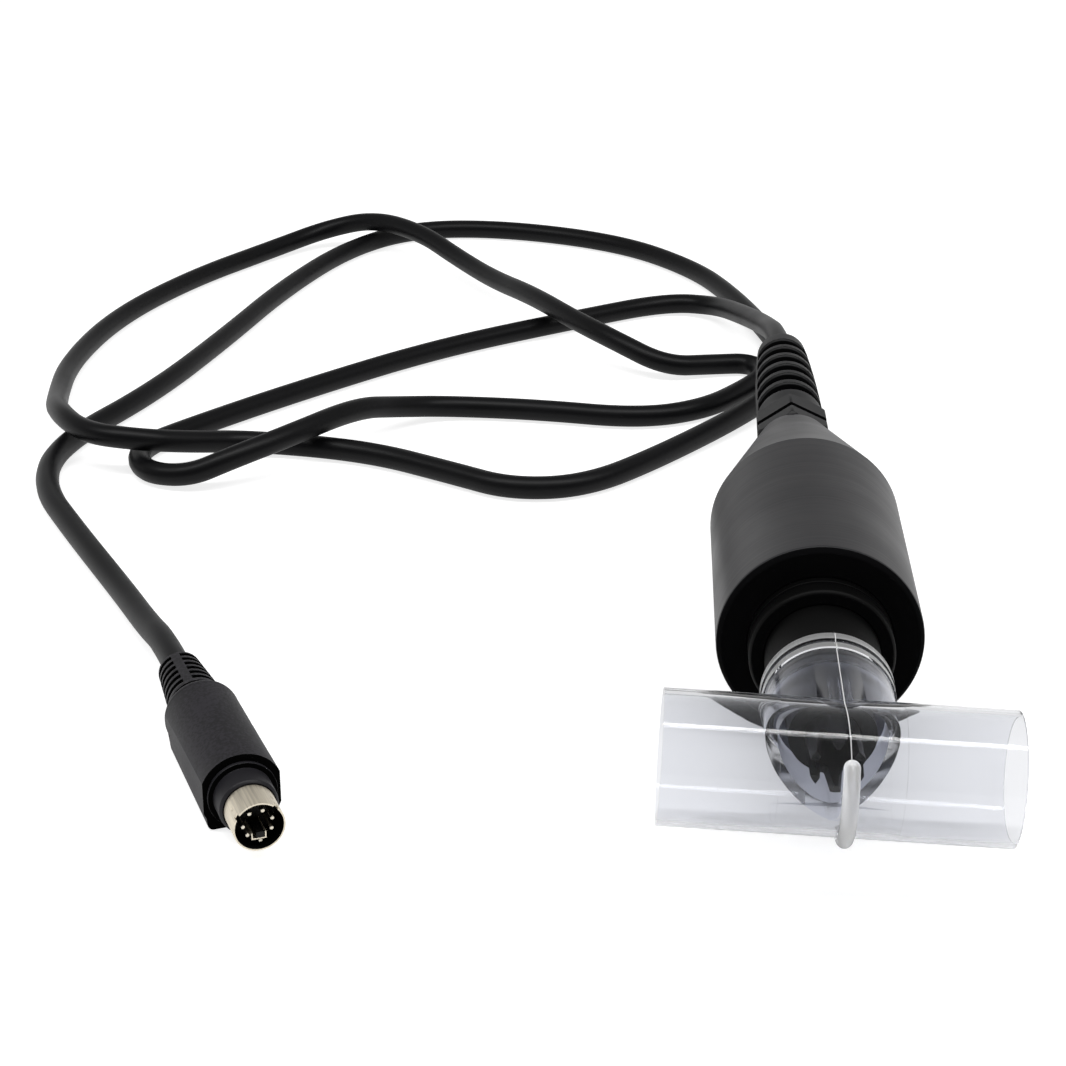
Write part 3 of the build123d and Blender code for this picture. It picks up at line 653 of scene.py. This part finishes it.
@dataclass
class Barrel:
    """The turned barrel with its ring, nose and diverter."""

    turned: TurnedAcetal = TurnedAcetal("turned_black_acetal", colour="#19181b")
    # Faces turned to the front get a near-black, nearly matt copy of the acetal: painted shade where the overhead lamp
    # does not reach.
    painted_shade_front: MouldedPlastic = MouldedPlastic("faced_matt_black_acetal", "#070708", roughness=0.95, specular=0.05)
    edge_mm: float = 0.25

    def build(self) -> list[bpy.types.Object]:
        """Build the barrel's four outer pieces.

        Returns:
            The pieces.
        """
        # The ring and the nose are a darker, less glossy black than the barrel's acetal: painted shade in the barrel's
        # mouth and under the tee.
        ring = TurnedAcetal("turned_black_ring_acetal", colour="#030303", roughness=0.5, specular=0.12)
        # The nose sleeve's faces that look to the front are drawn in a lighter grey than the rest of the sleeve.
        grey_nose_front = MouldedPlastic("grey_nose_rim_acetal", "#5a5c66", roughness=0.7, specular=0.2)
        nose = MouldedPlastic("black_nose_acetal", "#040404", roughness=0.5, specular=0.15)
        diverter = MouldedPlastic("black_diverter_nylon", "#0b0b0c", roughness=0.5, specular=0.3)
        front = Facing.FRONT
        return [
            Skin("housing", self.turned, self.edge_mm, second=self.painted_shade_front, facing=front, facing_deg=62.0, crisp=True).build(),
            Skin("retaining_ring", ring, self.edge_mm, second=self.painted_shade_front, facing=front, crisp=True).build(),
            Skin("nose_sleeve", nose, self.edge_mm, second=grey_nose_front, facing=front, crisp=True).build(),
            Skin("flow_diverter", diverter, 0.2).build(),
        ]


@dataclass
class Gland:
    """The cable gland with its long slotted tail, places in mm from the cone's end.

    The solids' slots are set half a pitch further forward, and their tail is shorter, than the
    photograph shows, so the skins are drawn out to the photograph's places.
    """

    nylon: MouldedPlastic = MouldedPlastic("black_gland_nylon", "#0c0c0e", roughness=0.5, specular=0.35)
    shaded: MouldedPlastic = MouldedPlastic("shaded_gland_nylon", "#050506", roughness=0.9, specular=0.08)
    cone_end_mm: float = 50.9
    flange_mm: tuple[float, float] = (3.6, 4.2)
    nut_front_mm: tuple[float, float] = (3.9, 6.1)
    hexagon_end_mm: float = 12.5
    first_slot_mm: tuple[float, float] = (17.0, 20.5)
    slot_pitch_mm: tuple[float, float] = (6.8, 7.0)
    slot_width_mm: tuple[float, float] = (3.3, 4.0)
    slots: int = 6
    tail_end_mm: tuple[float, float] = (60.5, 64.0)
    tail_tip_mm: float = 1.0
    web_mm: tuple[float, float] = (2.8, 0.8)
    rib_round_mm: float = 0.75
    rib_fade_mm: float = 2.5
    rib_least_r_mm: float = 5.8

    def tail_places(self, which: int) -> list[float]:
        """List the nut's places along the axis: its front, the hexagon's end, the slots' walls and the tip.

        Args:
            which: 0 for the places in the solid, 1 for the photograph's.

        Returns:
            Places from the sensor's origin, in metres.
        """
        middles = self.first_slot_mm[which] + self.slot_pitch_mm[which] * np.arange(self.slots)
        half = self.slot_width_mm[which] / 2
        walls = np.column_stack([middles - half, middles + half]).ravel()
        tip = self.tail_end_mm[which] - self.tail_tip_mm
        places = [self.nut_front_mm[which], self.hexagon_end_mm, *walls, tip, self.tail_end_mm[which]]
        return [(self.cone_end_mm + place) * MM for place in places]

    def shape_tail(self, piece: bpy.types.Object) -> None:
        """Lengthen the upper slots down the tail's sides and round the ribs between the slots.

        The corners on the webs' upper edges keep their radius about the axis and come down to the
        second of web_mm, so by Pythagoras they also move outward. Then the edges that lie in a
        slot's wall and on the tail's outside are rounded, less where they near a web.

        Args:
            piece: The nut's copy.
        """
        mesh = piece.data
        places = read(mesh.vertices, "co", 3)
        height = places[:, 2] - SENSOR_SPINDLE.centre[2]
        mine = np.abs(height - self.web_mm[0] * MM) < 0.02 * MM
        mine &= places[:, 1] > (self.cone_end_mm + self.hexagon_end_mm) * MM
        radius = np.hypot(places[:, 0], height)
        low = self.web_mm[1] * MM
        places[:, 0] = np.where(mine, np.sign(places[:, 0]) * np.sqrt(np.maximum(radius**2 - low**2, 0)), places[:, 0])
        places[:, 2] = np.where(mine, SENSOR_SPINDLE.centre[2] + low, places[:, 2])
        mesh.vertices.foreach_set("co", places.ravel())
        mesh.update()
        walls = np.array(self.tail_places(1)[2:-2])
        rim = np.abs(places[:, 1][:, None] - walls).min(axis=1) < 0.03 * MM
        rim &= np.hypot(places[:, 0], places[:, 2] - SENSOR_SPINDLE.centre[2]) > self.rib_least_r_mm * MM
        ends = read(mesh.edges, "vertices", 2).astype(int)
        level = np.abs(places[ends[:, 0], 1] - places[ends[:, 1], 1]) < 0.03 * MM
        rise = (places[ends, 2] - SENSOR_SPINDLE.centre[2]) / MM
        clear_of_web = np.where(rise > 0, rise - self.web_mm[1], -rise - self.web_mm[0])
        chosen = rim[ends].all(axis=1) & level & (clear_of_web > 0.05).all(axis=1)
        share = np.clip(clear_of_web.mean(axis=1) / self.rib_fade_mm, 0.25, 1.0)
        round_edges(piece, np.where(chosen, share, 0.0), self.rib_round_mm, 4)

    def body_places(self, which: int) -> list[float]:
        """List the body's places along the axis: the cone's end, the flange's end and the spigot's end."""
        places = (0.0, self.flange_mm[which], self.hexagon_end_mm)
        return [(self.cone_end_mm + place) * MM for place in places]

    def build(self) -> list[bpy.types.Object]:
        """Build the gland's body and its nut.

        Returns:
            The two pieces.
        """
        body_moves = (self.body_places(0), self.body_places(1))
        tail_moves = (self.tail_places(0), self.tail_places(1))
        return [
            Skin("gland_body", self.nylon, 0.25, moves=body_moves).build(),
            Skin(
                "gland_nut", self.nylon, 0.2, 36.0, second=self.shaded, facing=Facing.FRONT, facing_deg=20.0, moves=tail_moves,
                fit=self.shape_tail,
            ).build(),
        ]


@dataclass
class Plug:
    """The round plug: soft grip, collar, plated shell, carrier, pins and key guard."""

    grip: MouldedPlastic = MouldedPlastic(
        "charcoal_grip_pvc", "#1b191e", roughness=0.55, specular=0.3, grain_mm=0.6, grain_depth_mm=0.05, colour_drift=0.5,
        mottle=1.0,
    )
    # Near-black for the faces turned to the plug's front and for the shell's inside: painted shade where little light
    # reaches.
    end: MouldedPlastic = MouldedPlastic("dark_grip_end_pvc", "#040404", roughness=0.9, specular=0.05)
    shell: PlatedMetal = PlatedMetal("nickel_plated_steel")
    grip_start_mm: float = -57.5
    first_slot_mm: float = 1.0
    slot_pitch_mm: float = 2.42
    slot_width_mm: tuple[float, float] = (1.0, 1.35)
    slots: int = 6
    neck_mm: tuple[float, float] = (16.4, 16.9)
    neck_spare_mm: float = 0.65
    shoulder_end_mm: float = 20.2

    def slot_walls(self, which: int) -> list[float]:
        """List the relief's slot walls and its neck along the plug.

        Args:
            which: 0 for the solid's widths, 1 for the photograph's, which are wider.

        Returns:
            Places from the plug's mount, in metres.
        """
        starts = self.first_slot_mm + self.slot_pitch_mm * np.arange(self.slots)
        spare = (self.slot_width_mm[which] - self.slot_width_mm[0]) / 2
        walls = np.column_stack([starts - spare, starts + self.slot_width_mm[0] + spare]).ravel()
        neck = (self.neck_mm[0] - which * self.neck_spare_mm, self.neck_mm[1] + which * self.neck_spare_mm)
        return [(self.grip_start_mm + place) * MM for place in (0.0, *walls, *neck, self.shoulder_end_mm)]

    def build(self) -> list[bpy.types.Object]:
        """Build the plug's pieces.

        Returns:
            The pieces.
        """
        collar = MouldedPlastic("black_collar_pvc", "#201f23", roughness=0.5, specular=0.3)
        carrier = MouldedPlastic("black_carrier_pbt", "#0c0a0a", roughness=0.5, specular=0.3)
        pins = PlatedMetal("nickel_plated_pin_brass", colour="#e6dfcf", roughness=0.3)
        around = PLUG_SPINDLE
        front = Facing.PLUG_FRONT
        moves = (self.slot_walls(0), self.slot_walls(1))
        return [
            Skin("plug_grip", self.grip, 0.35, spindle=around, second=self.end, facing=front, moves=moves).build(),
            Skin("plug_collar", collar, 0.15, spindle=around, second=self.end, facing=front).build(),
            Skin("plug_shell", self.shell, 0.08, spindle=around, second=self.end, facing=Facing.INWARD, facing_deg=50.0).build(),
            Skin("plug_insert", carrier, 0.08, spindle=around).build(),
            Skin("plug_pins", pins, 0.12, spindle=around).build(),
            Skin("key_guard", self.shell, 0.06, spindle=around).build(),
        ]


@dataclass
class ClearTee:
    """The clear tee, with a frosted bead and the mould's parting line, sizes in mm from its centre."""

    finish: ClearStyrene = ClearStyrene("clear_tee_styrene")
    edge_mm: float = 0.22
    lean_deg: float = 9.0
    run_r: float = 12.0
    run_half_length: float = 30.75
    bore_r: float = 9.8
    socket_step: float = 18.7
    bead_x: float = 1.6
    bead_half_width: float = 1.7
    bead_band: float = 2.1
    bead_top_deg: tuple[float, float] = (38.0, 30.0)
    bead_end_deg: float = -78.0
    bead_lean_mm: tuple[float, float] = (0.35, -0.4)
    line_x: tuple[float, float] = (0.2, 1.2)
    branch_steps: tuple[tuple[float, float], ...] = (
        (27.6, 12.4), (25.5, 12.4), (25.4, 11.95), (24.2, 11.95), (24.1, 12.3), (22.4, 12.3), (22.3, 11.95), (2.0, 11.95),
    )
    line_half_width: float = 0.1
    line_height: float = 0.07

    def __post_init__(self) -> None:
        """Take the tee's centre and directions from its two run mounts."""
        left, right = (np.array(MOUNTS[name]["pos_m"]) for name in ("run_left", "run_right"))
        self.centre = (left + right) / 2
        self.along = np.array(MOUNTS["run_right"]["axis"])
        self.up = np.array((-self.along[2], 0.0, self.along[0]))

    def build(self) -> list[bpy.types.Object]:
        """Copy the tee's node, round its rims, shade it, frost its bead and add the parting line.

        Returns:
            The tee and its parting line.
        """
        piece = merged_copy("tee")
        self.cut_band(piece.data)
        self.lower_bead(piece.data)
        soften(piece, self.edge_mm, 28.0)
        run = Spindle(tuple(self.centre), tuple(self.along), 10.5 * MM, 12.1 * MM)
        branch = Spindle(tuple(self.centre), (0.0, 1.0, 0.0), 9.5 * MM, 12.6 * MM, 2.0 * MM)
        shade_turned(piece.data, [run, branch], False, self.lean_deg)
        frosted = ClearStyrene("frosted_tee_styrene", tint="#ffffff", roughness=0.25, clearness=0.4).material()
        # The bore's grey-violet tint, the branch wall's blue-grey tint and the run ends' grey are painted shade; the
        # bore's and the wall's roughness are their real satin and haze.
        satin = ClearStyrene("satin_tee_bore_styrene", tint="#a6a9b4", roughness=0.3).material()
        lip = ClearStyrene("frosted_tee_lip_styrene", tint="#ffffff", roughness=0.3, clearness=0.8).material()
        hazy = ClearStyrene("hazy_tee_branch_styrene", tint="#dadeee", roughness=0.12).material()
        edge = ClearStyrene("grey_tee_edge_styrene", tint="#5f6167", roughness=0.1).material()
        dress(piece, self.finish.material())
        for material in (frosted, satin, edge, hazy, lip):
            piece.data.materials.append(material)
        self.finish_faces(piece.data)
        stand_in(piece, "tee")
        line = self.parting_line()
        dress(line, frosted)
        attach(line, frame["nodes"]["tee"]["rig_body"])
        LOG.info("built %s from %d faces and %s", piece.name, len(piece.data.polygons), line.name)
        return [piece, line]

    def local(self, places: np.ndarray) -> tuple[np.ndarray, np.ndarray, np.ndarray]:
        """Turn places into mm along the run, along the branch and upward, from the tee's centre."""
        offset = (places - self.centre) / MM
        return offset @ self.along, offset[:, 1], offset @ self.up

    def cut_band(self, mesh: bpy.types.Mesh) -> None:
        """Cut the run's front wall on both sides of the bead, so that moving it leaves the rest of the wall alone."""
        work = bmesh.new()
        work.from_mesh(mesh)
        for side in (-1, 1):
            place = self.centre + (self.bead_x + side * self.bead_band) * MM * self.along
            middles = np.array([face.calc_center_median() for face in work.faces])
            x, y, z = self.local(middles)
            front = (y < 2) & (np.hypot(y, z) > self.run_r - 0.5)
            faces = [face for face, chosen in zip(work.faces[:], front) if chosen]
            edges = {edge for face in faces for edge in face.edges}
            corners = {corner for face in faces for corner in face.verts}
            bmesh.ops.bisect_plane(work, geom=[*corners, *edges, *faces], dist=1e-7, plane_co=place, plane_no=self.along)
        work.to_mesh(mesh)
        work.free()

    def lower_bead(self, mesh: bpy.types.Mesh) -> None:
        """Draw the bead's top end down to where the photograph has it.

        Each corner on the run's outer wall or on the bead, at the bead's place, keeps its radius
        about the run. Its angle over the front is drawn evenly towards the bead's lower end, and
        it leans along the run by bead_lean_mm from the lower end to the top.

        Args:
            mesh: The tee's mesh.
        """
        places = read(mesh.vertices, "co", 3)
        x, y, z = self.local(places)
        radius = np.hypot(y, z)
        angle = np.degrees(np.arctan2(z, -y))
        mine = (np.abs(x - self.bead_x) < self.bead_half_width) & (radius > self.run_r - 0.02) & (np.abs(angle) < 88)
        share = (self.bead_top_deg[1] - self.bead_end_deg) / (self.bead_top_deg[0] - self.bead_end_deg)
        new = np.radians(self.bead_end_deg + (angle - self.bead_end_deg) * share)
        y_new, z_new = np.where(mine, -radius * np.cos(new), y), np.where(mine, radius * np.sin(new), z)
        lean = np.interp(np.degrees(new), (self.bead_end_deg, self.bead_top_deg[1]), self.bead_lean_mm)
        x = x + np.where(mine, lean, 0.0)
        way = np.array((0.0, 1.0, 0.0))
        moved = self.centre + MM * (x[:, None] * self.along + y_new[:, None] * way + z_new[:, None] * self.up)
        mesh.vertices.foreach_set("co", moved.ravel())
        mesh.update()

    def finish_faces(self, mesh: bpy.types.Mesh) -> None:
        """Frost the bead and the lips, satin the branch's bore, haze its wall and grey the run's end faces. The bore's
        and the wall's tints and the ends' grey are painted shade.

        Args:
            mesh: The tee's mesh, with the clear, frosted, satin, edge, hazy and lip materials in that order.
        """
        x, y, z = self.local(read(mesh.polygons, "center", 3))
        from_run, from_branch = np.hypot(y, z), np.hypot(x, z)
        spoke = unit_spokes(read(mesh.polygons, "center", 3), self.centre, np.array((0.0, 1.0, 0.0)))
        outward = np.einsum("ij,ij->i", read(mesh.polygons, "normal", 3), spoke)
        bead = (np.abs(x - self.bead_x) < self.bead_half_width) & (from_run > self.run_r + 0.05) & (y < 2)
        lips = (from_branch > self.branch_steps[-1][1] + 0.1) & (y > self.branch_steps[-2][0] - 0.2)
        bore = (outward < -0.9) & (from_branch < self.bore_r + 0.3) & (y > 3) & (y < self.socket_step + 0.3)
        ends = np.abs(x) > self.run_half_length - 0.5
        wall = (outward > 0.9) & (np.abs(from_branch - self.branch_steps[-1][1]) < 0.1) & (y > 0.5)
        slot = np.select([bead, lips, bore, ends, wall], [1, 5, 2, 3, 4], 0)
        mesh.polygons.foreach_set("material_index", slot.astype(int))

    def parting_line(self) -> bpy.types.Object:
        """Lay the fine raised line that the mould left along the branch's top and down to the bead.

        The line's route is the branch's outline at the bead's place, its radius turned into a height
        by Pythagoras, then the run's circle down to the bead's top. At each point a low arch is laid
        across it, as high as line_height.

        Returns:
            The line, linked to the scene, at the origin.
        """
        steps = np.array(self.branch_steps)
        branch = np.column_stack([steps[:, 0], np.sqrt(steps[:, 1] ** 2 - self.line_x[0] ** 2)])
        angles = np.radians(np.linspace(-6.0, 90.0 - self.bead_top_deg[1], 24))
        run = self.run_r * np.column_stack([-np.sin(angles), np.cos(angles)])
        route = np.vstack([branch, run])
        away = np.vstack([np.tile((0.0, 1.0), (len(branch), 1)), run / self.run_r])
        arch = np.radians(np.linspace(0.0, 180.0, 7))
        aside = np.concatenate([np.full(len(branch), self.line_x[0]), np.linspace(*self.line_x, len(run))])
        across = aside[:, None] + self.line_half_width * np.cos(arch)
        rise = self.line_height * np.sin(arch) - 0.02
        section = route[:, None, :] + away[:, None, :] * rise[None, :, None]
        points = (
            self.centre
            + across[..., None] * MM * self.along
            + section[..., :1] * MM * np.array((0.0, 1.0, 0.0))
            + section[..., 1:] * MM * self.up
        )
        return grid_object("tee_parting_line", points, False, False)


@dataclass
class Inside:
    """What stands inside the barrel and the gland: shown as the CAD has it, under its own finishes."""

    finishes: dict[str, MouldedPlastic] = field(
        default_factory=lambda: {
            "sensor_cell": MouldedPlastic("white_cell_abs", "#d9d9d4", roughness=0.5),
            "nose_seal": MouldedPlastic("black_seal_nitrile", "#121212", roughness=0.65),
            "cell_cushion": MouldedPlastic("black_cushion_rubber", "#141414", roughness=0.7),
            "contact_board": MouldedPlastic("green_board_laminate", "#1e5a32", roughness=0.4),
            "load_resistor": MouldedPlastic("blue_resistor_lacquer", "#6f8fb5", roughness=0.3),
            "thermistor": MouldedPlastic("brown_bead_epoxy", "#5b2b12", roughness=0.25),
            "lead_connector": MouldedPlastic("ivory_connector_nylon", "#e4e0d2", roughness=0.45),
            "lead_wires": MouldedPlastic("red_wire_pvc", "#a3221c", roughness=0.45),
            "inner_cable": MouldedPlastic("black_cable_pvc", "#101012", roughness=0.5),
            "gland_o_ring": MouldedPlastic("black_gland_nitrile", "#101010", roughness=0.65),
            "gland_insert": MouldedPlastic("black_insert_rubber", "#121212", roughness=0.7),
        }
    )

    def dress_all(self) -> None:
        """Put each finish on its node and report it."""
        for node, finish in self.finishes.items():
            dress(frame["nodes"][node], finish.material())
            LOG.info("dressed %s with %s", node, finish.name)


# ---------------------------------------------------------------- floor, lights and camera


@dataclass
class Studio:
    """Pale table, one long soft lamp overhead, a room that darkens upwards, and the photograph's camera."""

    camera_place: tuple[float, float, float] = (-0.03466, -0.4592, 0.22358)
    camera_turn_deg: tuple[float, float, float] = (66.116, 0.0, 2.852)
    lens_mm: float = 80.28
    lamp_watts: float = 13.0
    lamp_size: tuple[float, float] = (2.0, 0.10)
    lamp_place: tuple[float, float, float] = (-0.03, -0.2, 1.05)
    ambient: float = 0.3
    table_colour: str = "#c6c6c6"
    table_glow: float = 0.78
    table_glow_through: float = 0.42
    table_glow_in_gloss: float = 0.47

    def glow(self, tree: bpy.types.NodeTree) -> bpy.types.NodeSocket:
        """Add nodes for the table's own light: most for the camera, some for clear walls and glosses, else none."""
        path = add_node(tree, "ShaderNodeLightPath")
        glow = None
        shares = {
            "Is Camera Ray": self.table_glow,
            "Is Transmission Ray": self.table_glow_through,
            "Is Glossy Ray": self.table_glow_in_gloss,
        }
        for ray, share in shares.items():
            part = add_node(tree, "ShaderNodeMath", {"operation": "MULTIPLY", 1: share}, {0: path.outputs[ray]}).outputs[0]
            glow = part if glow is None else add_node(tree, "ShaderNodeMath", {"operation": "MAXIMUM"}, {0: glow, 1: part}).outputs[0]
        return glow

    def floor(self) -> None:
        """Lay the table just under the barrel: grey under the lamp, lifted to white where it is seen."""
        span = np.linspace(-4.0, 4.0, 3)
        x, y = np.meshgrid(span, span, indexing="ij")
        points = np.stack([x, y, np.full_like(x, -0.0002)], axis=-1)
        table = grid_object("white_table", points, False, False)
        material, tree, shader = blank_material("white_table_paint")
        shader.inputs["Base Color"].default_value = linear(self.table_colour)
        shader.inputs["Roughness"].default_value = 0.9
        shader.inputs["Specular IOR Level"].default_value = 0.0
        shader.inputs["Emission Color"].default_value = (1, 1, 1, 1)
        tree.links.new(self.glow(tree), shader.inputs["Emission Strength"])
        dress(table, material)

    def world(self) -> None:
        """Make the room: white at the horizon, darker upwards and towards the front."""
        world = bpy.data.worlds.new("studio")
        bpy.context.scene.world = world
        world.use_nodes = True
        tree = world.node_tree
        tree.nodes.clear()
        way = add_node(tree, "ShaderNodeTexCoord").outputs["Generated"]
        parts = add_node(tree, "ShaderNodeSeparateXYZ", links={"Vector": way})
        upward = add_node(tree, "ShaderNodeValToRGB", links={"Fac": parts.outputs["Z"]})
        stops(upward, [(0.0, "#ffffff"), (0.12, "#f4f4f4"), (0.42, "#9c9c9c"), (1.0, "#808080")])
        back = add_node(
            tree, "ShaderNodeMapRange", {"From Min": -1.0, "From Max": 0.3, "To Min": 0.12, "To Max": 1.0}, {"Value": parts.outputs["Y"]}
        )
        room = add_node(tree, "ShaderNodeMath", {"operation": "MULTIPLY"}, {0: upward.outputs[0], 1: back.outputs[0]})
        through = add_node(tree, "ShaderNodeMapRange", {"To Min": 0.93, "To Max": 0.7}, {"Value": parts.outputs["Z"]})
        path = add_node(tree, "ShaderNodeLightPath")
        mirrored = add_node(tree, "ShaderNodeMix", {"data_type": "FLOAT"}, {0: path.outputs["Is Glossy Ray"], 3: room.outputs[0]})
        mirrored.inputs[2].default_value = self.ambient
        clear = add_node(
            tree,
            "ShaderNodeMix",
            {"data_type": "FLOAT"},
            {0: path.outputs["Is Transmission Ray"], 2: mirrored.outputs[0], 3: through.outputs[0]},
        )
        strength = add_node(tree, "ShaderNodeMix", {"data_type": "FLOAT"}, {0: path.outputs["Is Camera Ray"], 2: clear.outputs[0]})
        strength.inputs[3].default_value = 1.0
        light = add_node(tree, "ShaderNodeBackground", {"Color": (1, 1, 1, 1)}, {"Strength": strength.outputs[0]})
        add_node(tree, "ShaderNodeOutputWorld", links={"Surface": light.outputs[0]})

    def lamps(self) -> None:
        """Hang one long lamp above the sensor, along the tee's run, turned to face it."""
        lamp = bpy.data.lights.new("overhead", "AREA")
        lamp.shape = "RECTANGLE"
        lamp.energy = self.lamp_watts
        lamp.size, lamp.size_y = self.lamp_size
        holder = bpy.data.objects.new("overhead", lamp)
        holder.location = self.lamp_place
        holder.rotation_euler = (math.atan2(self.lamp_place[1], self.lamp_place[2]), 0.0, 0.0)
        bpy.context.scene.collection.objects.link(holder)

    def camera(self) -> None:
        """Set the camera where the photograph was taken from."""
        data = bpy.data.cameras.new("camera")
        data.lens = self.lens_mm
        data.sensor_width = 36.0
        data.clip_start = 0.01
        data.clip_end = 20.0
        holder = bpy.data.objects.new("camera", data)
        holder.location = self.camera_place
        holder.rotation_euler = tuple(math.radians(a) for a in self.camera_turn_deg)
        bpy.context.scene.collection.objects.link(holder)
        bpy.context.scene.camera = holder

    def build(self) -> None:
        """Set up the table, the room, the lamp, the camera and plain colour handling."""
        self.floor()
        self.world()
        self.lamps()
        self.camera()
        bpy.context.scene.view_settings.view_transform = "Standard"


def main() -> None:
    """Build every piece in order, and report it."""
    logging.basicConfig(level=logging.INFO, format="%(message)s")
    Studio().build()
    Barrel().build()
    Gland().build()
    ClearTee().build()
    plug = Plug().build()
    cord = Cord()
    cord.declare(cord.build(), MouldedPlastic("black_cord_pvc", "#08080a", roughness=0.42, specular=0.2, grain_mm=0.6).material())
    LOG.info("built the cord")
    Inside().dress_all()


if __name__ == "__main__":
    main()
